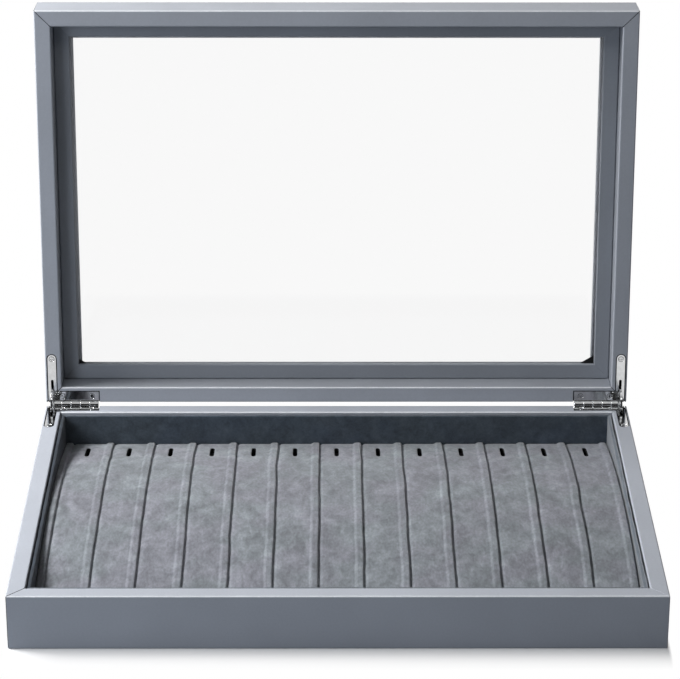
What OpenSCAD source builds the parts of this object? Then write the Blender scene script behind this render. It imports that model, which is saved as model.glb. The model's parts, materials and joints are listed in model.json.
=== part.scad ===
// Jewellery display case: a shallow wrapped case with a glazed lid on a pair
// of quadrant hinges, and a loose insert tray that carries an arched, ribbed
// display pad for chains.
//
// The base's bottom face lies on Z = 0 with its centre at the origin, the
// front faces -Y, and the lid stands open at the angle its stays allow.

/* [Case] */
// Width of the case, outside
case_w = 350; // [300:1:400]
// Depth of the case, outside
case_d = 240; // [200:1:280]
// Height of the base
base_h = 31.5; // [30:0.5:40]
// Thickness of the lid
lid_h = 24; // [23:0.5:30]
// Width of the wrapped rails, seen on the rims
rail_w = 9.5; // [9:0.25:12]
// Rounding of the rails' long edges
edge_r = 0.8; // [0.4:0.1:1]
// Gap left at each mitre by the wrapping
mitre_gap = 0.12; // [0.05:0.01:0.3]
// Gap between the two rims when the lid is shut
rim_gap = 0.3; // [0.2:0.05:0.5]

/* [Base bottom] */
// Thickness of the base's bottom board
panel_t = 3; // [2:0.5:4]
// Thickness of the lining under the bottom board
cover_t = 1; // [0.6:0.1:1.5]
// Width of the rebate that the bottom board sits in
rebate_w = 4.5; // [3:0.5:5.5]
// Clearance round the bottom board and its lining
panel_fit = 0.15; // [0.05:0.05:0.3]

/* [Lid window] */
// Width of the flange over the glass, on the front and side rails
flange_w = 11; // [8:0.5:14]
// Width of that flange on the hinged rail
flange_back_w = 8.5; // [6:0.5:14]
// Thickness of that flange
flange_t = 3.7; // [3:0.1:5]
// Thickness of the glass
glass_t = 2.3; // [2:0.1:3]
// Clearance round the glass
glass_fit = 0.4; // [0.2:0.1:1]
// Width of the strips that hold the glass
retainer_w = 9.4; // [6:0.2:11]
// Thickness of those strips
retainer_t = 3; // [2:0.2:4]
// Clearance between the strips and the rails
retainer_fit = 0.15; // [0.05:0.05:0.4]
// Leg of the left black corner pad, along the hinged rail
corner_leg_left = 4; // [3:0.5:10]
// Leg of the right corner pad, along the hinged rail
corner_leg_right = 7.5; // [3:0.5:10]
// Angle of the corner pads' long edge to that rail
corner_angle = 31; // [20:1:60]
// Thickness of the corner pads
corner_t = 1.2; // [0.6:0.1:1.8]

/* [Insert tray] */
// Clearance between the insert tray and the rails
insert_fit = 0.9; // [0.5:0.1:1.5]
// Thickness of the tray's walls
wall_t = 2; // [1.5:0.1:3]
// How far the tray's walls stop below the base's rim
wall_drop = 1; // [0.5:0.1:2]
// Thickness of the tray's floor
floor_t = 2; // [1.5:0.5:3]
// Clearance between the tray's floor and its walls
floor_fit = 0.1; // [0.05:0.05:0.3]
// Thickness of the arched formers under the pad
former_t = 5; // [3:0.5:8]
// Number of formers
former_count = 5; // [3:1:7]
// Depth of the rests under the pad's front and back edges
rest_d = 6; // [4:0.5:10]

/* [Display pad] */
// Number of channels, one for each chain
channel_count = 13; // [8:1:16]
// Clearance round the pad
pad_fit = 0.3; // [0.2:0.1:0.6]
// Thickness of the padded board
pad_t = 3; // [2.5:0.25:4]
// Height of the pad's surface at its back edge, above the tray's floor
pad_back_h = 6; // [5.5:0.25:8]
// Height of the pad's surface at its front edge, above the tray's floor
pad_front_h = 12.5; // [8:0.25:13]
// Rise of the arch above the line from edge to edge
pad_rise = 11.5; // [8:0.25:12]
// Width of a rib
rib_w = 4.4; // [3:0.2:6]
// Height of a rib above the channels
rib_h = 1; // [0.5:0.1:1.5]
// Width of the slot that a chain's end drops into
slot_w = 2.6; // [1.5:0.1:3.5]
// Length of that slot
slot_len = 19.5; // [8:0.5:24]
// Distance of the slot from the pad's back edge
slot_inset = 12; // [8:0.5:20]

/* [Hinges] */
// Angle at which the stays stop the lid
lid_open = 94.7; // [90:0.1:97]
// Distance of the hinge axis behind the case's back face
axis_back = 1.4; // [1.2:0.1:2.2]
// Radius of the knuckles
knuckle_r = 2.4; // [2.2:0.05:2.6]
// Radius of the hinge pins
pin_r = 1.1; // [0.8:0.05:1.3]
// Radial clearance of the pins in the knuckles
pin_fit = 0.05; // [0.03:0.01:0.08]
// Length of a barrel
barrel_len = 28; // [20:0.5:36]
// Number of knuckles in a barrel
knuckle_count = 5; // [3:2:7]
// Gap between two knuckles
knuckle_gap = 0.15; // [0.1:0.05:0.3]
// Distance of a barrel's outer end from the case's side
barrel_inset = 3.7; // [3:0.1:6]
// Clearance between a barrel and the rails
barrel_fit = 0.3; // [0.2:0.05:0.5]
// Thickness of the leaves
leaf_t = 1.2; // [1:0.05:1.4]
// How far the leaves lie below the rims
leaf_drop = 0.2; // [0.1:0.05:0.3]
// Width of the leaves' side arms
arm_w = 5; // [4.6:0.1:5.6]
// Reach of the side arms from the case's back face
arm_len = 30; // [24:0.5:40]
// Distance of a side arm's centre line from the case's side
arm_inset = 4; // [3.8:0.1:4.6]
// Width of the leaves' back arms
back_arm_w = 6.7; // [5:0.1:7.5]
// Clearance between a leaf and its mortise
mortise_fit = 0.6; // [0.2:0.1:0.8]

/* [Stays] */
// Mean radius of the curved stays about the hinge axis
stay_r = 9.8; // [9.4:0.1:10.4]
// Width of a stay, across its curve
stay_w = 2.4; // [2:0.1:2.8]
// How far the eye at each end of a stay stands wider than the stay
eye_grow = 0.2; // [0.1:0.05:0.3]
// Thickness of a stay
stay_t = 1.2; // [0.8:0.1:1.4]
// Radius of the stop pin through each end of a stay
stop_r = 1; // [0.8:0.05:1.1]
// Length of a stop pin
stop_len = 3.4; // [2.6:0.1:3.6]
// Clearance of a stay in its slots
stay_fit = 0.2; // [0.15:0.05:0.4]
// Clearance between a stop pin and its leaf when the lid is open
stop_fit = 0.05; // [0.03:0.01:0.1]
// Reach of the leaves' slots from the hinge axis
slot_reach = 15.6; // [13:0.1:18]
// Clearance of the moving stay in the rails' pockets
pocket_fit = 0.3; // [0.2:0.05:0.5]

/* [Screws] */
// Radius of a screw's shank
screw_r = 0.8; // [0.6:0.05:0.9]
// Radius of a screw's countersunk head
head_r = 1.7; // [1.4:0.05:1.9]
// Length of a screw below its leaf
screw_len = 6; // [4:0.5:8]
// Clearance round a screw
screw_fit = 0.05; // [0.03:0.01:0.1]
// Distance of the side arm's screw from the arm's end
side_screw_in = 2.7; // [2.3:0.1:4]
// Distance of the back arm's screws from the case's back face
back_screw_in = 3.8; // [3.4:0.1:4.4]
// Distance of the back arm's screws from the barrel's two ends
back_screw_end = 4; // [2.5:0.1:6]

/* [Hidden] */
$fn = 96;
ARC_FN = 1440;
EPS = 0.01;

wrap_grey = "#7c848d";
suede_grey = "#8f9095";
suede_dark = "#4b5057";
board_tan = "#9c8a70";
lining_black = "#25272b";

// Places of the hinge axis and of the shut lid
rim_z = base_h;
axis_y = case_d / 2 + axis_back;
axis_z = rim_z + rim_gap / 2;
lid_z = rim_z + rim_gap;

// Depths inside the lid, measured up from its rim
flange_z = lid_h - flange_t;
glass_z = flange_z - glass_t;
retainer_z = glass_z - retainer_t;

// Insert tray and pad
tray_z = cover_t + panel_t;
tray_top = rim_z - wall_drop;
tray_w = case_w - 2 * (rail_w + insert_fit);
tray_d = case_d - 2 * (rail_w + insert_fit);
tray_in_w = tray_w - 2 * wall_t;
tray_in_d = tray_d - 2 * wall_t;
floor_top = tray_z + floor_t;
pad_w = tray_in_w - 2 * pad_fit;
pad_d = tray_in_d - 2 * pad_fit;
rib_pitch = (pad_w - rib_w) / channel_count;

// The pad's surface is an arc through its back edge and front edge
pad_back_z = floor_top + pad_back_h;
pad_front_z = floor_top + pad_front_h;
chord = norm([pad_d, pad_front_z - pad_back_z]);
arch_r = (chord * chord / 4 + pad_rise * pad_rise) / (2 * pad_rise);
tilt = atan2(pad_back_z - pad_front_z, pad_d);
arch_y = sin(tilt) * (arch_r - pad_rise);
arch_z = (pad_back_z + pad_front_z) / 2 - cos(tilt) * (arch_r - pad_rise);
// A rib's section is the cap of a circle that stands rib_h above the surface
rib_r = (rib_w * rib_w / 4 + rib_h * rib_h) / (2 * rib_h);

// Leaves, in the base's frame
leaf_top = rim_z - leaf_drop;
leaf_bottom = leaf_top - leaf_t;
arm_x = case_w / 2 - arm_inset;
barrel_x1 = case_w / 2 - barrel_inset;
barrel_x0 = barrel_x1 - barrel_len;
knuckle_len = barrel_len / knuckle_count;
relief_r = knuckle_r + barrel_fit;

// A stay's stop pins sit just under the leaves when the lid is open
stop_angle = asin((axis_z - leaf_bottom + stop_fit + stop_r) / stay_r);
eye_r = stay_w / 2 + eye_grow;
shut_angle = stop_angle + lid_open / 2;
pocket_floor = axis_z - stay_r * sin(min(shut_angle, 90)) - eye_r - pocket_fit;
pocket_y1 = axis_y - stay_r * cos(shut_angle) + eye_r + pocket_fit;
pocket_y0 = axis_y - slot_reach;
pocket_w = stop_len + 2 * pocket_fit;

// Puts a local frame (x along the rail, y inwards from its outer face) on a side
module on_front() { translate([0, -case_d / 2, 0]) children(); }
module on_back() { translate([0, case_d / 2, 0]) rotate([0, 0, 180]) children(); }
module on_left() { translate([-case_w / 2, 0, 0]) rotate([0, 0, -90]) children(); }
module on_right() { translate([case_w / 2, 0, 0]) rotate([0, 0, 90]) children(); }

// Turns the shut lid's frame to where the stays hold it
module lid_open_pose() {
    translate([0, axis_y, axis_z]) rotate([-lid_open, 0, 0]) translate([0, -axis_y, -axis_z]) children();
}
// Turns a leaf drawn on the base over onto the lid's rim
module onto_lid() {
    translate([0, 0, 2 * axis_z]) mirror([0, 0, 1]) children();
}
// Draws a child on the right and its mirror image on the left
module both_sides() {
    children();
    mirror([1, 0, 0]) children();
}

// A square with its four corners rounded, from the origin
module round_rect(w, h, r) {
    translate([r, 0]) square([w - 2 * r, h]);
    translate([0, r]) square([w, h - 2 * r]);
    for (x = [r, w - r], y = [r, h - r]) translate([x, y]) circle(r = r, $fn = 48);
}
// Extrudes a section (x inwards, y up) along X and mitres both ends. Where the
// rail across the -X (-1) or +X (1) end is narrower, the end goes on square.
module mitred(len, depth, height, gap, square_end = 0, square_from = 0) {
    half = len / 2 - gap;
    reach = depth + 1;
    square_x = half - square_from;
    mitre_x = half - reach;
    intersection() {
        rotate([90, 0, 90]) linear_extrude(len, center = true) children();
        translate([0, 0, -1]) linear_extrude(height + 2) polygon(concat(
            [[-half, 0], [half, 0]],
            square_end > 0 ? [[square_x, square_from], [square_x, reach]] : [[mitre_x, reach]],
            square_end < 0 ? [[-square_x, reach], [-square_x, square_from]] : [[-mitre_x, reach]]
        ));
    }
}

module base_section() {
    difference() {
        round_rect(rail_w, base_h, edge_r);
        translate([rail_w - rebate_w, -EPS]) square([rebate_w + 1, cover_t + panel_t + EPS]);
    }
}
module base_rail(len) { mitred(len, rail_w, base_h, mitre_gap / 2) base_section(); }

module lid_section(flange) {
    round_rect(rail_w, lid_h, edge_r);
    translate([rail_w / 2, flange_z]) round_rect(rail_w / 2 + flange, flange_t, edge_r);
}
module lid_rail(len, flange = flange_w, back_end = 0) {
    translate([0, 0, lid_z])
        mitred(len, rail_w + flange, lid_h, mitre_gap / 2, back_end, rail_w + flange_back_w)
            lid_section(flange);
}

module retainer_section() {
    translate([rail_w + retainer_fit, retainer_z]) round_rect(retainer_w - retainer_fit, retainer_t, edge_r);
}
module retainer(len) {
    translate([0, 0, lid_z]) mitred(len, rail_w + retainer_w, lid_h, mitre_gap / 2) retainer_section();
}

module wall_section() {
    translate([rail_w + insert_fit, tray_z]) {
        square([wall_t, (tray_top - tray_z) / 2]);
        round_rect(wall_t, tray_top - tray_z, wall_t * 0.3);
    }
}
module insert_wall(len) { mitred(len, rail_w + insert_fit + wall_t, base_h, mitre_gap / 2) wall_section(); }

// Outline of an L-shaped leaf on the right, grown by a clearance
module leaf_outline(grow) {
    w = arm_w + 2 * grow;
    end_y = case_d / 2 - arm_len + arm_w / 2;
    translate([arm_x - w / 2, end_y]) square([w, arm_len - arm_w / 2]);
    translate([arm_x, end_y]) circle(d = w);
    translate([barrel_x0 - grow, case_d / 2 - back_arm_w - grow])
        square([arm_x + w / 2 - barrel_x0 + grow, back_arm_w + grow]);
}
// Screw places on the right leaf
function screw_places() = [
    [arm_x, case_d / 2 - arm_len + side_screw_in],
    [barrel_x0 + back_screw_end, case_d / 2 - back_screw_in],
    [barrel_x1 - back_screw_end - arm_w / 2, case_d / 2 - back_screw_in]
];
// The round space that a barrel turns in
module barrel_relief(r) {
    translate([barrel_x0 - barrel_fit, axis_y, axis_z]) rotate([0, 90, 0])
        cylinder(r = r, h = barrel_len + 2 * barrel_fit);
}
// All that is cut from the base's rails for the right hinge
module hinge_mortise() {
    translate([0, 0, leaf_bottom]) linear_extrude(rim_z - leaf_bottom + 1) leaf_outline(mortise_fit);
    barrel_relief(relief_r);
    stay_pocket();
    for (p = screw_places()) translate([p.x, p.y, leaf_bottom - screw_len - screw_fit])
        cylinder(r = screw_r + screw_fit, h = screw_len + leaf_t);
}
// The deep slot that a stay sinks into as the lid shuts, squared at the back
module stay_pocket() {
    round_r = pocket_w / 2;
    depth = rim_z - pocket_floor;
    translate([arm_x - round_r, pocket_y0 + round_r, pocket_floor])
        cube([pocket_w, pocket_y1 - pocket_y0 - round_r, depth]);
    translate([arm_x, pocket_y0 + round_r, pocket_floor]) cylinder(r = round_r, h = depth);
}
// Whether the base's leaf (0) or the lid's leaf (1) owns a knuckle
function owner(i) = i % 2;
module leaf(own) {
    difference() {
        union() {
            difference() {
                translate([0, 0, leaf_bottom]) linear_extrude(leaf_t) leaf_outline(0);
                barrel_relief(relief_r);
            }
            for (i = [0 : knuckle_count - 1]) if (owner(i) == own)
                translate([barrel_x0 + i * knuckle_len + knuckle_gap / 2, 0, 0]) knuckle();
        }
        translate([barrel_x0 - 1, axis_y, axis_z]) rotate([0, 90, 0])
            cylinder(r = pin_r + pin_fit, h = barrel_len + 2);
        stay_slot();
        for (p = screw_places()) translate([p.x, p.y, 0]) countersink(screw_fit);
    }
}
// One knuckle with the strip that joins it to its leaf
module knuckle() {
    w = knuckle_len - knuckle_gap;
    strip_y = axis_y - relief_r - 1;
    translate([0, axis_y, axis_z]) rotate([0, 90, 0]) cylinder(r = knuckle_r, h = w);
    translate([0, strip_y, leaf_bottom]) cube([w, axis_y - strip_y, leaf_t]);
}
module stay_slot() {
    w = stay_t + 2 * stay_fit;
    y1 = axis_y - stay_r + eye_r + w / 2;
    translate([arm_x, 0, leaf_bottom - 1]) linear_extrude(leaf_t + 2) {
        translate([-w / 2, pocket_y0 + w / 2]) square([w, y1 - pocket_y0 - w]);
        for (y = [pocket_y0 + w / 2, y1 - w / 2]) translate([0, y]) circle(d = w);
    }
}
// A screw's head in its leaf, and the hole for it
module countersink(fit) {
    translate([0, 0, leaf_bottom - EPS])
        cylinder(r1 = screw_r + fit, r2 = head_r + fit, h = leaf_t + 2 * EPS);
}
module screw() {
    cross_w = screw_r * 0.55;
    cross_l = head_r * 1.25;
    difference() {
        union() {
            translate([0, 0, leaf_bottom]) cylinder(r1 = screw_r, r2 = head_r, h = leaf_t);
            translate([0, 0, leaf_bottom - screw_len]) cylinder(r = screw_r, h = screw_len);
        }
        for (a = [0, 90]) rotate([0, 0, a])
            translate([-cross_l / 2, -cross_w / 2, leaf_top - leaf_t / 2]) cube([cross_l, cross_w, leaf_t]);
    }
}
module leaf_screws() {
    both_sides() for (p = screw_places()) translate([p.x, p.y, 0]) screw();
}
module hinge_pin() {
    translate([barrel_x0, axis_y, axis_z]) rotate([0, 90, 0]) cylinder(r = pin_r, h = barrel_len);
}

// The curved stay, with a stop pin through each end
module stay() {
    a0 = 180 - lid_open - stop_angle;
    a1 = 180 + stop_angle;
    translate([arm_x, axis_y, axis_z]) rotate([90, 0, 90]) {
        rotate([0, 0, a0]) rotate_extrude(angle = a1 - a0, $fn = 360)
            translate([stay_r - stay_w / 2, -stay_t / 2]) square([stay_w, stay_t]);
        for (a = [a0, a1]) rotate([0, 0, a]) translate([stay_r, 0, 0]) {
            translate([0, 0, -stay_t / 2]) cylinder(r = eye_r, h = stay_t);
            translate([0, 0, -stop_len / 2]) cylinder(r = stop_r, h = stop_len);
        }
    }
}

// A slab of the arch, from below the surface by the given depths
module arch_disc(len, depth) {
    translate([-len / 2, arch_y, arch_z]) rotate([0, 90, 0])
        cylinder(r = arch_r - depth, h = len, $fn = ARC_FN);
}
module arch_fill(w, y0, y1) {
    intersection() {
        arch_disc(w, pad_t);
        translate([-w / 2, y0, floor_top]) cube([w, y1 - y0, base_h]);
    }
}
module rib(x) {
    span = 2 * asin(pad_d / 2 / arch_r) + 4;
    translate([x, arch_y, arch_z]) rotate([90, 0, 90]) rotate([0, 0, 90 - span / 2])
        rotate_extrude(angle = span, $fn = ARC_FN / 2)
            translate([arch_r + rib_h - rib_r, 0]) circle(r = rib_r, $fn = 32);
}

module display_pad() {
    slot_y1 = pad_d / 2 - slot_inset;
    slot_y0 = slot_y1 - slot_len;
    color(suede_grey) difference() {
        intersection() {
            union() {
                arch_disc(pad_w, 0);
                for (i = [0 : channel_count]) rib(-pad_w / 2 + rib_w / 2 + i * rib_pitch);
            }
            translate([-pad_w / 2, -pad_d / 2, floor_top]) cube([pad_w, pad_d, base_h]);
        }
        arch_disc(pad_w + 2, pad_t);
        for (i = [0 : channel_count - 1]) translate([(i - (channel_count - 1) / 2) * rib_pitch, 0, floor_top]) {
            translate([-slot_w / 2, slot_y0 + slot_w / 2, 0]) cube([slot_w, slot_len - slot_w, base_h]);
            for (y = [slot_y0 + slot_w / 2, slot_y1 - slot_w / 2])
                translate([0, y, 0]) cylinder(d = slot_w, h = base_h, $fn = 24);
        }
    }
}
module pad_formers() {
    step = (pad_w - 4 * former_t) / (former_count - 1);
    inner = pad_d / 2 - rest_d - pad_fit;
    color(board_tan) for (i = [0 : former_count - 1])
        translate([(i - (former_count - 1) / 2) * step, 0, 0]) arch_fill(former_t, -inner, inner);
}
module pad_rest_front() { color(board_tan) arch_fill(pad_w, -pad_d / 2, -pad_d / 2 + rest_d); }
module pad_rest_back() { color(board_tan) arch_fill(pad_w, pad_d / 2 - rest_d, pad_d / 2); }

module base_rail_front() { color(wrap_grey) on_front() base_rail(case_w); }
module base_rail_back() {
    color(wrap_grey) difference() {
        on_back() base_rail(case_w);
        both_sides() hinge_mortise();
    }
}
module base_rail_left() {
    color(wrap_grey) difference() {
        on_left() base_rail(case_d);
        mirror([1, 0, 0]) hinge_mortise();
    }
}
module base_rail_right() {
    color(wrap_grey) difference() {
        on_right() base_rail(case_d);
        hinge_mortise();
    }
}
module bottom_board(z, t, c) {
    w = case_w - 2 * (rail_w - rebate_w + panel_fit);
    d = case_d - 2 * (rail_w - rebate_w + panel_fit);
    color(c) translate([-w / 2, -d / 2, z]) cube([w, d, t]);
}
module base_panel() { bottom_board(cover_t, panel_t, board_tan); }
module bottom_cover() { bottom_board(0, cover_t, lining_black); }

module insert_floor() {
    w = tray_in_w - 2 * floor_fit;
    d = tray_in_d - 2 * floor_fit;
    color(suede_dark) translate([-w / 2, -d / 2, tray_z]) cube([w, d, floor_t]);
}
module insert_wall_front() { color(suede_dark) on_front() insert_wall(case_w); }
module insert_wall_back() { color(suede_dark) on_back() insert_wall(case_w); }
module insert_wall_left() { color(suede_dark) on_left() insert_wall(case_d); }
module insert_wall_right() { color(suede_dark) on_right() insert_wall(case_d); }

module lower_leaf_right() { color("silver") leaf(0); }
module lower_leaf_left() { color("silver") mirror([1, 0, 0]) leaf(0); }
module hinge_pin_right() { color("gainsboro") hinge_pin(); }
module hinge_pin_left() { color("gainsboro") mirror([1, 0, 0]) hinge_pin(); }
module lower_leaf_screws() { color("gainsboro") leaf_screws(); }
module stay_right() { color("whitesmoke") stay(); }
module stay_left() { color("whitesmoke") mirror([1, 0, 0]) stay(); }

module upper_leaf_right() { color("silver") lid_open_pose() onto_lid() leaf(1); }
module upper_leaf_left() { color("silver") mirror([1, 0, 0]) lid_open_pose() onto_lid() leaf(1); }
module upper_leaf_screws() { color("gainsboro") lid_open_pose() onto_lid() leaf_screws(); }

module lid_rail_front() { color(wrap_grey) lid_open_pose() on_front() lid_rail(case_w); }
module lid_rail_back() {
    color(wrap_grey) lid_open_pose() difference() {
        on_back() lid_rail(case_w, flange_back_w);
        both_sides() onto_lid() hinge_mortise();
    }
}
module lid_rail_left() {
    color(wrap_grey) lid_open_pose() difference() {
        on_left() lid_rail(case_d, back_end = -1);
        mirror([1, 0, 0]) onto_lid() hinge_mortise();
    }
}
module lid_rail_right() {
    color(wrap_grey) lid_open_pose() difference() {
        on_right() lid_rail(case_d, back_end = 1);
        onto_lid() hinge_mortise();
    }
}
module lid_glass() {
    w = case_w - 2 * (rail_w + glass_fit);
    d = case_d - 2 * (rail_w + glass_fit);
    color("lightcyan", 0.35) lid_open_pose()
        translate([-w / 2, -d / 2, lid_z + glass_z]) cube([w, d, glass_t]);
}
// A wedge of foam on the glass, in the corner between two strips
module corner_pad(leg) {
    inset = rail_w + retainer_w + retainer_fit;
    translate([case_w / 2 - inset, case_d / 2 - inset, lid_z + glass_z - corner_t])
        linear_extrude(corner_t) polygon([[0, 0], [-leg, 0], [0, -leg * tan(corner_angle)]]);
}
module glass_corner_pads() {
    color(lining_black) lid_open_pose() {
        corner_pad(corner_leg_right);
        mirror([1, 0, 0]) corner_pad(corner_leg_left);
    }
}
module retainer_front() { color(wrap_grey) lid_open_pose() on_front() retainer(case_w); }
module retainer_back() { color(wrap_grey) lid_open_pose() on_back() retainer(case_w); }
module retainer_left() { color(wrap_grey) lid_open_pose() on_left() retainer(case_d); }
module retainer_right() { color(wrap_grey) lid_open_pose() on_right() retainer(case_d); }

base_rail_front();
base_rail_back();
base_rail_left();
base_rail_right();
base_panel();
bottom_cover();
insert_floor();
insert_wall_front();
insert_wall_back();
insert_wall_left();
insert_wall_right();
pad_formers();
pad_rest_front();
pad_rest_back();
display_pad();
lower_leaf_left();
lower_leaf_right();
hinge_pin_left();
hinge_pin_right();
lower_leaf_screws();
stay_left();
stay_right();
upper_leaf_left();
upper_leaf_right();
upper_leaf_screws();
lid_rail_front();
lid_rail_back();
lid_rail_left();
lid_rail_right();
lid_glass();
glass_corner_pads();
retainer_front();
retainer_back();
retainer_left();
retainer_right();
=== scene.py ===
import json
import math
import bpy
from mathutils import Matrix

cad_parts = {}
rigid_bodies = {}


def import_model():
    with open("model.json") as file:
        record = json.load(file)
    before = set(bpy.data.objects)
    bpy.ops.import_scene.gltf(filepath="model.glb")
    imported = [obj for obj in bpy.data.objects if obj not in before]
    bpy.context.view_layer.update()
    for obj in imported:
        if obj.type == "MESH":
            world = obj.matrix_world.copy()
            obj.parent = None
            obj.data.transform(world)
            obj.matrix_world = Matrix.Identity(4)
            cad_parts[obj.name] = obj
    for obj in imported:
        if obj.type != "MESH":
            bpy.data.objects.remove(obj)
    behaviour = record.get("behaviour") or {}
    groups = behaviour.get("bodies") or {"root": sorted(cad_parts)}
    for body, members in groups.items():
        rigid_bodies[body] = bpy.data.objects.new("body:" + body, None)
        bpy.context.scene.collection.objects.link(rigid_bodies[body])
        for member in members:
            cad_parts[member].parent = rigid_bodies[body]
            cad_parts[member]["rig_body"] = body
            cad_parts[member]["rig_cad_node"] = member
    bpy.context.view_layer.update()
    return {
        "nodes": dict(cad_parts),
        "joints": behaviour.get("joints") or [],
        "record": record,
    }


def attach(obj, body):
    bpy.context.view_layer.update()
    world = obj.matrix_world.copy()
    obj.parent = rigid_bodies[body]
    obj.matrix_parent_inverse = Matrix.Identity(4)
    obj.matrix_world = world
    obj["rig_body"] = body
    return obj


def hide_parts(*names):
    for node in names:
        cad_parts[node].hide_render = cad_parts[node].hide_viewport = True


bl_info = {
    "name": "Jewellery display case",
    "version": (1, 0, 0),
    "blender": (4, 5, 0),
    "location": "3D View > Sidebar > Display case",
    "description": "Dresses the packed display case: wrapped rails, glazed lid, suede tray and pad, hinges",
    "category": "Object",
}

import bpy
import numpy as np
from bpy.props import FloatProperty, FloatVectorProperty, IntProperty, PointerProperty
from mathutils import Matrix, Vector, noise

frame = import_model()

MM = 0.001
SIDES = ("front", "back", "left", "right")
HANDS = ("left", "right")
BODY_OF = {node: body for body, nodes in frame["record"]["behaviour"]["bodies"].items() for node in nodes}
SLOT_OF = {part["node"]: part["material_slot"] for part in frame["record"]["subparts"]}
LID_HINGE = next(joint for joint in frame["joints"] if joint["name"] == "lid_hinge")
# Turns a direction of the open lid back to the frame in which the lid is shut
SHUT_TURN = Matrix.Rotation(math.radians(LID_HINGE["range_deg"][1]), 3, "X")


def linear(hex_code):
    """An sRGB hex code as linear red, green, blue and alpha."""
    parts = [int(hex_code[i : i + 2], 16) / 255 for i in (1, 3, 5)]
    return [c / 12.92 if c <= 0.04045 else ((c + 0.055) / 1.055) ** 2.4 for c in parts] + [1.0]


def colour_prop(name, description, hex_code):
    return FloatVectorProperty(
        name=name, description=description, subtype="COLOR", size=4, min=0, max=1, default=linear(hex_code)
    )


def length_prop(name, description, millimetres):
    return FloatProperty(name=name, description=description, unit="LENGTH", min=0, default=millimetres * MM)


def power_prop(name, description, watts):
    return FloatProperty(name=name, description=description, unit="POWER", default=watts)


def angle_prop(name, description, degrees):
    return FloatProperty(name=name, description=description, subtype="ANGLE", default=math.radians(degrees))


def place_prop(name, description, place):
    return FloatVectorProperty(
        name=name, description=description, subtype="TRANSLATION", unit="LENGTH", default=place
    )


class CaseFinish(bpy.types.PropertyGroup):
    """Colours of the case's finishes."""

    wrap: colour_prop("Wrap", "Leatherette that the rails are wrapped in", "#b6bac2")
    # Painted shade: this darker wrap stands in for the shade inside the lid's recess
    inner_wrap: colour_prop("Inner wrap", "Darker leatherette round the inside of the lid", "#9a9ea5")
    # Painted highlight: this pale colour on the rails' upper front edges stands in for a highlight
    edge_wrap: colour_prop("Edge wrap", "Leatherette stretched pale over the rails' upper edges", "#eceef2")
    pad: colour_prop("Pad", "Microsuede of the display pad", "#7f8288")
    liner: colour_prop("Liner", "Microsuede of the tray's front and back walls", "#4a535c")
    # Painted shade and painted light: the left wall's liner is darkened and the right wall's lightened for how
    # the light falls on them
    liner_dark: colour_prop("Dark liner", "The same on the left wall, its nap brushed away", "#343b43")
    liner_light: colour_prop("Light liner", "The same on the right wall, its nap brushed forwards", "#59626b")
    # Painted shade: near-black board stands in for the shade in the hinges' cuts, the mitres and the slots
    # under the pad
    cut_board: colour_prop("Cut board", "Stained fibreboard under the pad and in the hinges' cuts", "#191a1c")
    board: colour_prop("Board", "Fibreboard inside the tray and under the base", "#9c8a70")
    lining: colour_prop("Lining", "Lining paper under the base", "#232528")
    metal: colour_prop("Hinge metal", "Nickel plate on the hinges", "#cfd0d1")
    foam: colour_prop("Foam", "Foam rubber at the corners of the glass and inside the pad", "#0b0c0d")
    glass: colour_prop("Glass", "Tint of the lid's glass", "#f8f8f8")


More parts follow.
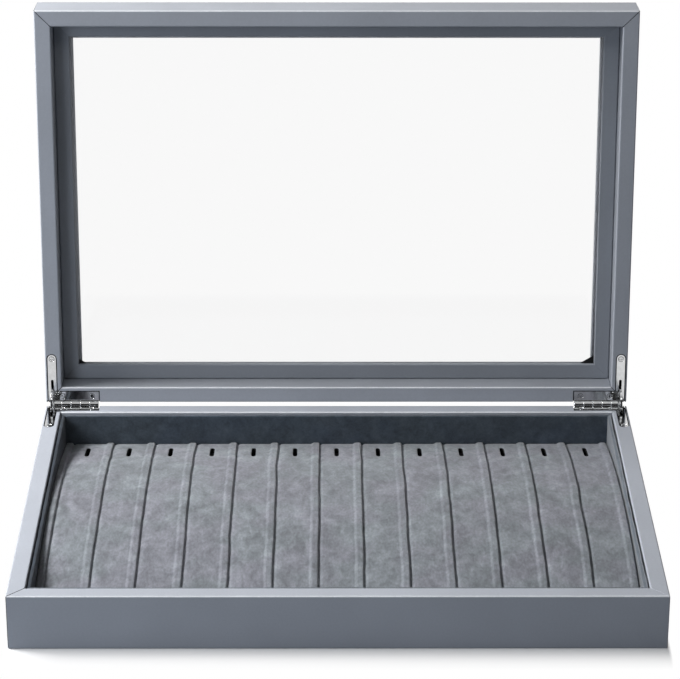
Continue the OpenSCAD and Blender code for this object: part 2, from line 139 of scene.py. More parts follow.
class CaseSizes(bpy.types.PropertyGroup):
    """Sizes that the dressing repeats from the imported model, and the small ones that it adds."""

    case_width: length_prop("Case width", "Width of the case, outside", 350)
    case_depth: length_prop("Case depth", "Depth of the case, outside", 240)
    rail_width: length_prop("Rail width", "Width of the wrapped rails", 9.5)
    rim_height: length_prop("Rim height", "Height of the base's rim", 31.5)
    lid_foot: length_prop("Lid foot", "Height of the shut lid's lower rim", 31.8)
    mitre_gap: length_prop("Mitre gap", "Gap left at each mitre by the wrapping", 0.12)
    mitre_round: length_prop("Mitre rounding", "How far the wrap is drawn in at a mitre of the base", 0.2)
    least_mitre: FloatProperty(
        name="Least mitre", description="Area that tells a mitre from a facet", unit="AREA", default=2e-5
    )
    metal_round: length_prop("Metal rounding", "Radius of the stamped edges of the hinge plates", 0.12)
    head_round: length_prop("Head rounding", "Radius of the rims of the screw heads", 0.42)
    knuckle_radius: length_prop("Knuckle radius", "Radius of the hinges' knuckles", 2.4)
    knuckle_round: length_prop("Knuckle rounding", "Radius of the knuckles' turned ends", 0.7)
    wall_inset: length_prop("Wall inset", "Distance of the tray's walls from the case's outside", 10.4)
    wall_thickness: length_prop("Wall thickness", "Card and suede of a tray wall", 2.0)
    wall_foot: length_prop("Wall foot", "Height of the walls' lower edge", 4.0)
    wall_top: length_prop("Wall top", "Height of the walls' upper edge", 30.5)
    wall_wave: length_prop("Wall wave", "Depth of the waves in the suede over a wall", 0.5)
    pad_width: length_prop("Pad width", "Width of the display pad", 324.6)
    pad_depth: length_prop("Pad depth", "Depth of the display pad", 214.6)
    pad_back: length_prop("Pad back", "Height of the pad's surface at its back edge", 12.0)
    pad_front: length_prop("Pad front", "Height of the pad's surface at its front edge", 18.5)
    pad_rise: length_prop("Pad rise", "Rise of the arch above the line from edge to edge", 11.5)
    pad_thickness: length_prop("Pad thickness", "Board, foam and suede together", 3.0)
    rib_width: length_prop("Rib width", "Width of a rib of the pad", 4.4)
    rib_height: length_prop("Rib height", "Height of a rib above its channels", 1.1)
    rib_wander: length_prop("Rib wander", "How far a sewn rib strays from its straight line", 0.75)
    seam_depth: length_prop("Seam depth", "Depth of the sewn seam at the right foot of a rib", 0.62)
    channel_crown: length_prop("Channel crown", "Most that the padding may swell a channel", 0.45)
    nap_wave: length_prop("Nap wave", "Depth of the slow waves in the suede", 0.12)
    edge_roll: length_prop("Edge roll", "Radius of the suede over the pad's edges", 1.0)
    side_roll: length_prop("Side roll", "Radius of the suede over the pad's left and right sides", 1.0)
    slot_roll: length_prop("Slot roll", "Radius of the suede into the slots", 0.3)
    slot_width: length_prop("Slot width", "Width of a chain slot", 2.6)
    slot_length: length_prop("Slot length", "Length of a chain slot", 19.5)
    slot_cap: length_prop("Slot cap", "Length of the oval at each end of a slot", 3.2)
    slot_inset: length_prop("Slot inset", "Distance of the slots from the pad's back edge", 12.0)
    channels: IntProperty(name="Channels", description="Channels across the pad", min=1, default=13)


class CaseStage(bpy.types.PropertyGroup):
    """Floor, light and camera."""

    floor: colour_prop("Floor", "Plain floor that the case stands on", "#f4f4f4")
    floor_size: length_prop("Floor size", "Side of the square floor", 12000)
    bounce: colour_prop("Bounce", "What the floor throws back onto the case", "#878c92")
    shadow_reach: length_prop("Shadow reach", "How far before the case its shadow has faded", 22)
    side_fade: FloatProperty(
        name="Side fade", description="How many times sooner the shadow fades beside the case", default=12
    )
    key_watts: power_prop("Key light", "Power of the key light", 11.6)
    key_place: place_prop("Key place", "Where the key light hangs", (-0.9, 0.22, 0.82))
    side_watts: power_prop("Side light", "Power of the light at the side", 6.8)
    side_place: place_prop("Side place", "Where the side light hangs", (-0.95, 0.0, 0.8))
    key_size: length_prop("Key size", "Side of the square key and side lights", 400)
    strip_watts: power_prop("Strip light", "Power of the long narrow light overhead", 1.5)
    strip_place: place_prop("Strip place", "Where the strip light hangs", (0, -0.45, 1.0))
    strip_length: length_prop("Strip length", "Length of the strip light", 1600)
    strip_width: length_prop("Strip width", "Width of the strip light", 200)
    fill_watts: power_prop("Fill light", "Power of the fill light", 3.5)
    fill_place: place_prop("Fill place", "Where the fill light hangs", (-0.7, -0.8, 0.5))
    fill_size: length_prop("Fill size", "Side of the square fill light", 500)
    fill_colour: colour_prop("Fill colour", "Cool light of the fill", "#ecf4ff")
    sky: FloatProperty(name="Sky", description="Strength of the even light from all round", default=0.004)
    dim_side: FloatProperty(
        name="Dim side", description="How bright gloss sees the room on the camera's side", default=0.05
    )
    camera_place: place_prop("Camera place", "Where the camera stands", (-0.00620, -1.44606, 0.75260))
    camera_dip: angle_prop("Camera dip", "Angle at which the camera looks down", 23.399)
    camera_turn: angle_prop("Camera turn", "Angle at which the camera looks to the right", 0.302)
    camera_roll: angle_prop("Camera roll", "Angle at which the camera is held off level", 0.112)
    camera_lens: FloatProperty(
        name="Camera lens", description="Focal length on a 36 mm sensor", subtype="DISTANCE_CAMERA",
        default=151.290,
    )


# Materials


def connect(tree, node, links):
    """Links these sources to the node's sockets. A node stands for its first output."""
    for socket, source in links.items():
        output = source.outputs[0] if isinstance(source, bpy.types.Node) else source
        tree.links.new(output, node.inputs[socket])


def add_node(tree, kind, values=None, links=None, **settings):
    """Adds one node with its settings, socket values and incoming links."""
    node = tree.nodes.new("ShaderNode" + kind)
    for key, value in settings.items():
        setattr(node, key, value)
    for socket, value in (values or {}).items():
        node.inputs[socket].default_value = value
    connect(tree, node, links or {})
    return node


def new_finish(name, values):
    """A material with one Principled shader, whose sockets get these values."""
    material = bpy.data.materials.new(name)
    material.use_nodes = True
    tree = material.node_tree
    tree.nodes.clear()
    surface = add_node(tree, "BsdfPrincipled", values)
    add_node(tree, "OutputMaterial", links={"Surface": surface})
    place = add_node(tree, "TexCoord").outputs["Object"]
    return material, tree, surface, place


def grain(tree, place, feature, detail=2.0, stretch=(1, 1, 1), distortion=0.0, span=None, middle=(0.3, 0.7)):
    """Noise with blobs about this many millimetres across, from 0 to 1 or with its middle over a span."""
    scaled = add_node(tree, "Mapping", {"Scale": stretch}, {"Vector": place})
    values = {"Scale": 1 / (feature * MM), "Detail": detail, "Distortion": distortion}
    pattern = add_node(tree, "TexNoise", values, {"Vector": scaled})
    if span is None:
        return pattern
    values = {"From Min": middle[0], "From Max": middle[1], "To Min": span[0], "To Max": span[1]}
    return add_node(tree, "MapRange", values, {"Value": pattern}, clamp=True)


def shaded(tree, colour, *factors):
    """The colour made lighter or darker by each pattern."""
    result = None
    for factor in factors:
        values = {"Vector": colour[:3]} if result is None else {}
        links = {"Scale": factor} if result is None else {"Scale": factor, "Vector": result}
        result = add_node(tree, "VectorMath", values, links, operation="SCALE")
    return result


def relief(tree, *layers):
    """The normal of a surface with layers raised on it: each a pattern, its strength and its millimetres."""
    normal = None
    for height, strength, depth in layers:
        links = {"Height": height} if normal is None else {"Height": height, "Normal": normal}
        normal = add_node(tree, "Bump", {"Strength": strength, "Distance": depth * MM}, links)
    return normal


def leatherette(name, colour, gloss, blur):
    """Leatherette: paper-backed PU film, embossed with a fine calf grain and wrapped tight over board.
    It gives an even satin colour, a soft broad gloss from the film and a grain seen only close up."""
    material, tree, surface, place = new_finish(name, {"IOR": 1.45, "Specular IOR Level": gloss})
    slow = grain(tree, place, 45, span=(0.965, 1.035))
    fine = grain(tree, place, 1.2, 3, span=(0.975, 1.025))
    # Calf grain has pebbles about 0.5 mm across; drawn at 0.7 mm, it still shows close up
    pebbles = add_node(
        tree, "TexVoronoi", {"Scale": 1 / (0.7 * MM), "Randomness": 1.0}, {"Vector": place},
        feature="SMOOTH_F1",
    )
    connect(tree, surface, {
        "Base Color": shaded(tree, colour, slow, fine),
        "Roughness": grain(tree, place, 9, 3, span=(blur - 0.04, blur + 0.04)),
        "Normal": relief(tree, (pebbles, 0.12, 0.04), (grain(tree, place, 6), 0.5, 0.02)),
    })
    return material


def microsuede(name, colour, sheen, mottle, tints):
    """Microsuede: polyester microfibre with a sanded nap, glued over foam or board.
    The nap lies in patches that take the light differently, so it looks mottled, soft and without gloss."""
    material, tree, surface, place = new_finish(
        name, {"Roughness": 0.92, "IOR": 1.4, "Sheen Weight": sheen, "Sheen Roughness": 0.45}
    )

    def nap_tone(feature, detail, across, distortion, strength, middle=(0.3, 0.7)):
        span = (1 - strength * mottle, 1 + strength * mottle)
        return grain(tree, place, feature, detail, (1.0, across, 1.0), distortion, span, middle)

    patches = nap_tone(12, 4, 0.6, 0.8, 2.0)
    strokes = nap_tone(4.2, 4, 0.5, 0.7, 1.6)
    # Fibre ends are 0.1 mm apart; drawn at 1.2 mm, they still show from where the case is seen whole
    fibres = nap_tone(1.2, 2, 0.5, 0.0, 1.4, (0.25, 0.75))
    toned = shaded(tree, colour, patches, strokes, fibres)
    tint = grain(tree, place, 31, span=(0.0, 1.0), middle=(0.42, 0.58))
    tints = {6: linear(tints[0]), 7: linear(tints[1])}
    mixed = add_node(tree, "Mix", tints, {0: tint}, data_type="RGBA").outputs[2]
    coloured = add_node(tree, "VectorMath", links={0: toned, 1: mixed}, operation="MULTIPLY")
    nap, brushed = grain(tree, place, 0.6, 3), grain(tree, place, 7, 3, distortion=0.5)
    connect(tree, surface, {
        "Base Color": coloured,
        "Normal": relief(tree, (nap, 0.6, 0.1), (brushed, 0.5, 0.25)),
    })
    return material


def fibreboard(name, colour):
    """Medium-density fibreboard: pressed wood fibre, sanded or cut. It gives a dull tan with short darker
    fibres or, in a near-black, painted shade in the hinges' cuts, in mitres and under the pad."""
    material, tree, surface, place = new_finish(name, {"Roughness": 0.85})
    fibres = grain(tree, place, 0.9, 4, (1.0, 0.35, 1.0), span=(0.85, 1.12))
    clouds = grain(tree, place, 12, span=(0.93, 1.06))
    connect(tree, surface, {
        "Base Color": shaded(tree, colour, fibres, clouds),
        "Normal": relief(tree, (fibres, 0.4, 0.05)),
    })
    return material


def lining_paper(name, colour):
    """Lining paper: black fibre paper, pressed and glued down. It gives a matt black with a felted grain."""
    material, tree, surface, place = new_finish(name, {"Roughness": 0.9, "Sheen Weight": 0.1})
    fibres = grain(tree, place, 0.7, 5, (0.5, 1.0, 1.0), 1.2, (0.75, 1.35))
    clouds = grain(tree, place, 8, 3, span=(0.9, 1.12))
    connect(tree, surface, {
        "Base Color": shaded(tree, colour, fibres, clouds),
        "Normal": relief(tree, (fibres, 0.5, 0.06)),
    })
    return material


def nickel_plate(name, colour, blur, stretch):
    """Nickel-plated steel: stamped or drawn, tumbled and plated bright. It gives a warm white gloss,
    a little blurred by the fine lines that stamping leaves along each part."""
    material, tree, surface, place = new_finish(name, {"Metallic": 1.0})
    clouds = grain(tree, place, 2.5, 3, span=(0.93, 1.04))
    lines = grain(tree, place, 0.25, 2, stretch)
    connect(tree, surface, {
        "Base Color": shaded(tree, colour, clouds),
        "Roughness": grain(tree, place, 1.4, 3, span=(blur * 0.8, blur * 1.3)),
        "Normal": relief(tree, (lines, 0.25, 0.01)),
    })
    return material


def float_glass(name, colour):
    """Float glass, 2.3 mm, cut and seamed: clear and flat, coated to take most of the mirror off it."""
    return new_finish(name, {
        "Base Color": colour, "Roughness": 0.0, "IOR": 1.52, "Transmission Weight": 1.0,
        "Specular Tint": (0.3, 0.3, 0.3, 1),
    })[0]


def foam_rubber(name, colour):
    """Foam rubber: closed-cell sheet, die cut. It gives a dead black with tiny open cells on its cuts."""
    material, tree, surface, place = new_finish(name, {"Roughness": 0.95})
    cells = add_node(tree, "TexVoronoi", {"Scale": 1 / (0.35 * MM)}, {"Vector": place})
    connect(tree, surface, {
        "Base Color": shaded(tree, colour, grain(tree, place, 1.0, 3, span=(0.8, 1.3))),
        "Normal": relief(tree, (cells, 0.6, 0.08)),
    })
    return material


# What makes each slot's finish, the finish's name, its colour in CaseFinish and what else its maker is given
LINER_TINTS = ("#f6f9ff", "#ffffff")
RECIPES = {
    "leatherette": (leatherette, "satin_leatherette", "wrap", 0.07, 0.42),
    # A pale, glossy wrap: a painted highlight on the rails' upper front edges
    "edge_wrap": (leatherette, "stretched_leatherette", "edge_wrap", 1.0, 0.26),
    # A darker wrap: painted shade on the lid's inner walls and the strips that hold its glass
    "inner_wrap": (leatherette, "matt_leatherette", "inner_wrap", 0.12, 0.5),
    "liner_suede": (microsuede, "liner_microsuede", "liner", 0.7, 0.1, LINER_TINTS),
    # Left wall: painted shade. Right wall: painted light
    "liner_suede_left": (microsuede, "liner_nap_away", "liner_dark", 0.1, 0.1, LINER_TINTS),
    "liner_suede_right": (microsuede, "liner_nap_near", "liner_light", 0.9, 0.1, LINER_TINTS),
    "pad_suede": (microsuede, "pad_microsuede", "pad", 0.28, 0.12, ("#fffcff", "#fbfffd")),
    "board": (fibreboard, "sanded_fibreboard", "board"),
    # Near-black board: painted shade in cuts, mitres and under the pad
    "cut_board": (fibreboard, "stained_cut_fibreboard", "cut_board"),
    "lining": (lining_paper, "black_lining_paper", "lining"),
    "steel": (nickel_plate, "stamped_nickel_plate", "metal", 0.08, (1.0, 0.12, 1.0)),
    "pin_steel": (nickel_plate, "drawn_nickel_plate", "metal", 0.1, (1.0, 0.5, 0.5)),
    "glass": (float_glass, "clear_float_glass", "glass"),
    "corner_rubber": (foam_rubber, "black_foam_rubber", "foam"),
}
finishes_made = {}


def finish_named(key):
    """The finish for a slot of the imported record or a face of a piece, made when it is first asked for."""
    if key not in finishes_made:
        maker, name, colour, *values = RECIPES[key]
        finishes_made[key] = maker(name, getattr(bpy.context.scene.case_finish, colour), *values)
    return finishes_made[key]


# Shaping


def only(*objects):
    """Selects these objects alone, the first one active."""
    bpy.ops.object.select_all(action="DESELECT")
    for obj in objects:
        obj.select_set(True)
    bpy.context.view_layer.objects.active = objects[0]


def leave_edit():
    bpy.ops.object.mode_set(mode="OBJECT")


def edit(obj, action="SELECT"):
    """Opens an object's mesh in edit mode with all of it selected, or none of it."""
    only(obj)
    bpy.ops.object.mode_set(mode="EDIT")
    bpy.ops.mesh.select_all(action=action)


def select_parts(obj, kind, wanted):
    """Selects, in edit mode, the edges or faces for which wanted(edge or face) holds."""
    edit(obj, "DESELECT")
    bpy.ops.mesh.select_mode(type=kind)
    leave_edit()
    for part in obj.data.edges if kind == "EDGE" else obj.data.polygons:
        part.select = bool(wanted(part))
    bpy.ops.object.mode_set(mode="EDIT")


def select_edges(obj, wanted):
    """Selects, in edit mode, the edges for which wanted(first point, second point) holds."""
    points = points_of(obj)
    select_parts(obj, "EDGE", lambda edge: wanted(points[edge.vertices[0]], points[edge.vertices[1]]))


def select_sharp(obj, degrees):
    """Selects, in edit mode, the edges that turn by more than this."""
    select_parts(obj, "EDGE", lambda edge: False)
    bpy.ops.mesh.edges_select_sharp(sharpness=math.radians(degrees))


def round_selected(radius, segments, clamp=False):
    """Rounds the selected edges and leaves edit mode."""
    bpy.ops.mesh.bevel(offset=radius, segments=segments, profile=0.5, clamp_overlap=clamp, affect="EDGES")
    leave_edit()


def face_outwards(obj):
    edit(obj)
    bpy.ops.mesh.normals_make_consistent(inside=False)
    leave_edit()


def apply_modifier(obj, kind, **settings):
    """Adds a modifier with these settings and applies it."""
    only(obj)
    modifier = obj.modifiers.new(kind.title(), kind)
    for key, value in settings.items():
        setattr(modifier, key, value)
    bpy.ops.object.modifier_apply(modifier=modifier.name)


def smooth(piece, degrees):
    """Smooth shading that keeps the flats flat."""
    only(piece)
    bpy.ops.object.shade_smooth_by_angle(angle=math.radians(degrees))
    apply_modifier(piece, "WEIGHTED_NORMAL", keep_sharp=True, weight=100)


def points_of(obj):
    points = np.empty(len(obj.data.vertices) * 3)
    obj.data.vertices.foreach_get("co", points)
    return points.reshape(-1, 3)


def move_points(obj, points):
    obj.data.vertices.foreach_set("co", points.ravel())
    obj.data.update()


def spaced(stops, step):
    """Every stop, and even places between them no further apart than the step."""
    places = [stops[0]]
    for start, end in zip(stops, stops[1:]):
        count = max(1, math.ceil((end - start) / step - 1e-6))
        places += [start + (end - start) * i / count for i in range(1, count + 1)]
    return np.array(places)


def open_grid(name, columns, rows):
    """A grid of this many columns and rows of points, and each point's column and row."""
    bpy.ops.object.select_all(action="DESELECT")
    bpy.ops.mesh.primitive_grid_add(x_subdivisions=columns - 1, y_subdivisions=rows - 1, size=1)
    grid = bpy.context.object
    grid.name = name
    column, row, _ = np.rint((points_of(grid) + 0.5) * (columns - 1, rows - 1, 1)).astype(int).T
    return grid, column, row


def wave(points, length, seed):
    """Smooth noise from -1 to 1 at these points, whose waves are about this long."""
    shift = Vector((seed * 3.7, seed * 1.3, seed * 9.1))
    return np.array([noise.noise(Vector(point) / length + shift) for point in points])


def copy_of(node, name):
    """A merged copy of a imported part's mesh, with its flats joined into single faces."""
    only(frame["nodes"][node])
    bpy.ops.object.duplicate()
    piece = bpy.context.object
    piece.name = name
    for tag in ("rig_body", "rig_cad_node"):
        del piece[tag]
    edit(piece)
    bpy.ops.mesh.customdata_custom_splitnormals_clear()
    bpy.ops.mesh.remove_doubles(threshold=0.002 * MM)
    bpy.ops.mesh.dissolve_limited(angle_limit=math.radians(0.1))
    leave_edit()
    return piece


def stand_for(piece, node):
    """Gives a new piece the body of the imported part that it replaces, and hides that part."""
    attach(piece, BODY_OF[node])
    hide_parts(node)


def dress(piece, node):
    """Gives a new piece the finish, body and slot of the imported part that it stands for."""
    piece.data.materials.clear()
    piece.data.materials.append(finish_named(SLOT_OF[node]))
    stand_for(piece, node)


def finish_packed(*nodes, finish=None):
    """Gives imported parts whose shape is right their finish."""
    for node in nodes:
        for slot in frame["nodes"][node].material_slots:
            slot.material = finish_named(finish or SLOT_OF[node])


def show_on(piece, finish, wanted):
    """Shows a further finish on the faces for which wanted(face) holds."""
    materials = piece.data.materials
    if finish_named(finish).name not in materials:
        materials.append(finish_named(finish))
    index = materials.find(finish_named(finish).name)
    for face in piece.data.polygons:
        if wanted(face):
            face.material_index = index


# Rails

# Where the cuts for a hinge's arm and plate lie: least and most from the case's side, then from its back
ARM_CUT = (0.85 * MM, 7.3 * MM, -math.inf, 31 * MM)
PLATE_CUT = (3.2 * MM, 33 * MM, -0.1 * MM, 7.4 * MM)
CUT_DEPTH = (0.05 * MM, 14 * MM)


def shut_place(node, point):
    """Where a point of this part is when the lid is shut."""
    if BODY_OF[node] != "lid":
        return point
    axis = Vector(LID_HINGE["pos_m"])
    return SHUT_TURN @ (point - axis) + axis


def shut_normal(node, face):
    """Where a face of this part looks when the lid is shut."""
    return SHUT_TURN @ face.normal if BODY_OF[node] == "lid" else face.normal


def mitre_planes(piece, node):
    """A point and the normal of each mitre face of a rail."""
    planes = []
    for face in piece.data.polygons:
        normal = shut_normal(node, face)
        diagonal = abs(normal.z) < 0.01 and abs(abs(normal.x) - abs(normal.y)) < 0.01
        if diagonal and face.area > bpy.context.scene.case_sizes.least_mitre:
            planes.append((face.center.copy(), face.normal.copy()))
    return planes


def turn_into_mitre(piece, point, normal, round_by):
    """Cuts the wrap this far from a mitre face and draws the face's outline in by as much."""
    edit(piece)
    bpy.ops.mesh.bisect(plane_co=point - round_by * normal, plane_no=normal)
    leave_edit()
    vertices, outwards = piece.data.vertices, {}
    for face in piece.data.polygons:
        if abs(face.normal.dot(normal)) < 0.95:
            along = face.normal - face.normal.dot(normal) * normal
            for vertex in face.vertices:
                if abs((vertices[vertex].co - point).dot(normal)) < 0.01 * MM:
                    outwards[vertex] = outwards.get(vertex, Vector()) + along.normalized()
    for vertex, way in outwards.items():
        vertices[vertex].co -= way.normalized() * round_by


def wrapped_rail(node, round_by):
    """A wrapped rail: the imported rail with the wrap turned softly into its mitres."""
    piece = copy_of(node, "wrapped_" + node)
    planes = mitre_planes(piece, node)
    for point, normal in planes:
        turn_into_mitre(piece, point, normal, round_by)
    smooth(piece, 32)
    dress(piece, node)
    if "rail" in node:
        paint_shade_in_cuts(piece, node)
        paint_mitre_shade(piece, node, planes, round_by)
        paint_edge_highlights(piece)
    return piece


def paint_shade_in_cuts(piece, node):
    """Paints shade, as near-black board, in the cuts that the hinges lie in."""
    sizes = bpy.context.scene.case_sizes

    def in_cut(face):
        at = shut_place(node, face.center)
        from_side, from_back = sizes.case_width / 2 - abs(at.x), sizes.case_depth / 2 - at.y
        depth = at.z - sizes.lid_foot if BODY_OF[node] == "lid" else sizes.rim_height - at.z
        mitre = abs(from_side - from_back) < 0.5 * MM and 0.6 < abs(face.normal.x) < 0.8
        return not mitre and CUT_DEPTH[0] < depth < CUT_DEPTH[1] and any(
            cut[0] < from_side < cut[1] and cut[2] < from_back < cut[3] for cut in (ARM_CUT, PLATE_CUT)
        )

    show_on(piece, "cut_board", in_cut)


def paint_mitre_shade(piece, node, planes, round_by):
    """Paints shade, as near-black board, in the mitres of the lid and of the base's left corners."""

    def in_mitre(face):
        return ("lid" in node or face.center.x < 0) and any(
            abs((face.center - point).dot(normal) + round_by / 2) < round_by for point, normal in planes
        )

    show_on(piece, "cut_board", in_mitre)


def paint_edge_highlights(piece):
    """Paints a highlight, as a pale glossy wrap, on the rounded edges that face up and to the front."""
    show_on(piece, "edge_wrap", lambda face: (
        abs(face.normal.x) < 0.2 and face.normal.y < -0.2 and face.normal.z > 0.2
    ))


def paint_recess_shade(piece, node):
    """Paints shade, as a darker wrap, on the inner wall of a lid rail."""
    sizes = bpy.context.scene.case_sizes

    def inner(face):
        at, normal = shut_place(node, face.center), shut_normal(node, face)
        inwards = normal.x * at.x < -0.5 * abs(at.x) or normal.y * at.y < -0.5 * abs(at.y)
        inset = min(sizes.case_width / 2 - abs(at.x), sizes.case_depth / 2 - abs(at.y))
        return inwards and abs(normal.z) < 0.1 and inset > sizes.rail_width - 1 * MM

    show_on(piece, "inner_wrap", inner)


class CASE_OT_base_rails(bpy.types.Operator):
    """Wraps the four rails of the base"""

    bl_idname = "case.base_rails"
    bl_label = "Base rails"

    def execute(self, context):
        for side in SIDES:
            wrapped_rail("base_rail_" + side, context.scene.case_sizes.mitre_round)
        return {"FINISHED"}


class CASE_OT_lid_rails(bpy.types.Operator):
    """Wraps the four rails of the lid and the strips that hold its glass"""

    bl_idname = "case.lid_rails"
    bl_label = "Lid rails and strips"

    def execute(self, context):
        round_by = context.scene.case_sizes.mitre_round
        for side in SIDES:
            paint_recess_shade(wrapped_rail("lid_rail_" + side, round_by * 0.8), "lid_rail_" + side)
            strip = wrapped_rail("retainer_" + side, round_by / 4)
            # The strips take the darker wrap: painted shade in the lid's recess
            strip.data.materials[0] = finish_named("inner_wrap")
        return {"FINISHED"}


class CASE_OT_lid_window(bpy.types.Operator):
    """Finishes the glass and the foam wedges at its corners"""

    bl_idname = "case.lid_window"
    bl_label = "Lid window"

    def execute(self, context):
        finish_packed("lid_glass", "glass_corner_pads")
        return {"FINISHED"}


class CASE_OT_bottom(bpy.types.Operator):
    """Finishes the base's panel and the lining under it"""

    bl_idname = "case.bottom"
    bl_label = "Bottom"

    def execute(self, context):
        finish_packed("base_panel", "bottom_cover")
        return {"FINISHED"}


class CASE_OT_tray(bpy.types.Operator):
    """Wraps the tray's four walls in suede and finishes its floor and the supports under the pad"""

    bl_idname = "case.tray"
    bl_label = "Tray"

    def execute(self, context):
        sizes = context.scene.case_sizes
        # Near-black board here is painted shade: it is what shows, dark, through the pad's slots
        finish_packed("insert_floor", "pad_formers", "pad_rest_front", "pad_rest_back", finish="cut_board")
        for number, side in enumerate(SIDES):
            self.wrapped_wall(sizes, side, number)
        return {"FINISHED"}

    def wrapped_wall(self, sizes, side, number):
        """A card wall with suede over its top: a sheet laid over the wall's section, then closed."""
        section = self.section(sizes)
        length, width = sizes.case_width, sizes.case_depth
        if side in HANDS:
            length, width = width, length
        columns = int(length / (4 * MM))
        wall, column, row = open_grid("wrapped_wall_" + side, columns, len(section))
        inset, height = section[row].T
        along = column / (columns - 1) - 0.5
        points = np.stack((along * (length - sizes.mitre_gap - 2 * inset), inset - width / 2, height), 1)
        # The suede is glued to the card's faces, so it waves most where it turns over the top
        loose = np.clip((height - sizes.wall_foot) / (sizes.wall_top - sizes.wall_foot), 0, 1) ** 3
        outer = np.where(inset < sizes.wall_inset + sizes.wall_thickness / 2, -1.0, 0.35)
        swell = 0.4 + 0.8 * wave(points, 17 * MM, number + 1) + 0.4 * wave(points, 7 * MM, number + 9)
        points[:, 1] += outer * loose * sizes.wall_wave * swell
        points[:, 2] += 0.5 * loose * sizes.wall_wave * wave(points, 18 * MM, number + 5)
        turn = {"front": 0, "right": 90, "back": 180, "left": 270}[side]
        move_points(wall, points @ np.array(Matrix.Rotation(math.radians(turn), 3, "Z")).T)
        self.close(wall)
        face_outwards(wall)
        smooth(wall, 40)
        dress(wall, "insert_wall_" + side)
        if side in HANDS:
            # The side walls get painted shade on the left and painted light on the right
            wall.data.materials[0] = finish_named("liner_suede_" + side)

    def section(self, sizes):
        """The wall's section, up its outer face, over its rounded top and down its inner face."""
        half = sizes.wall_thickness / 2
        middle = sizes.wall_inset + half
        heights = spaced([sizes.wall_foot, sizes.wall_top - half], 4 * MM)
        arc = [(middle - half * math.cos(a), sizes.wall_top - half + half * math.sin(a))
               for a in np.radians(range(20, 180, 20))]
        up = [(middle - half, z) for z in heights]
        return np.array(up + arc + [(middle + half, z) for _, z in reversed(up)])

    def close(self, wall):
        """Closes the foot between the sheet's two long edges, then both mitred ends."""
        foot = points_of(wall)[:, 2].min() + 0.01 * MM
        select_edges(wall, lambda a, b: max(a[2], b[2]) < foot)
        bpy.ops.mesh.bridge_edge_loops()
        bpy.ops.mesh.select_all(action="DESELECT")
        bpy.ops.mesh.select_non_manifold(extend=False)
        bpy.ops.mesh.fill_holes(sides=0)
        leave_edit()


# How far beside a rib its seam lies, how wide it is, and how deep and wide the suede dips round a slot
SEAM_OFFSET, SEAM_WIDTH = 0.6 * MM, 0.95 * MM
SLOT_DIP, SLOT_DIP_WIDTH = 0.3 * MM, 0.9 * MM


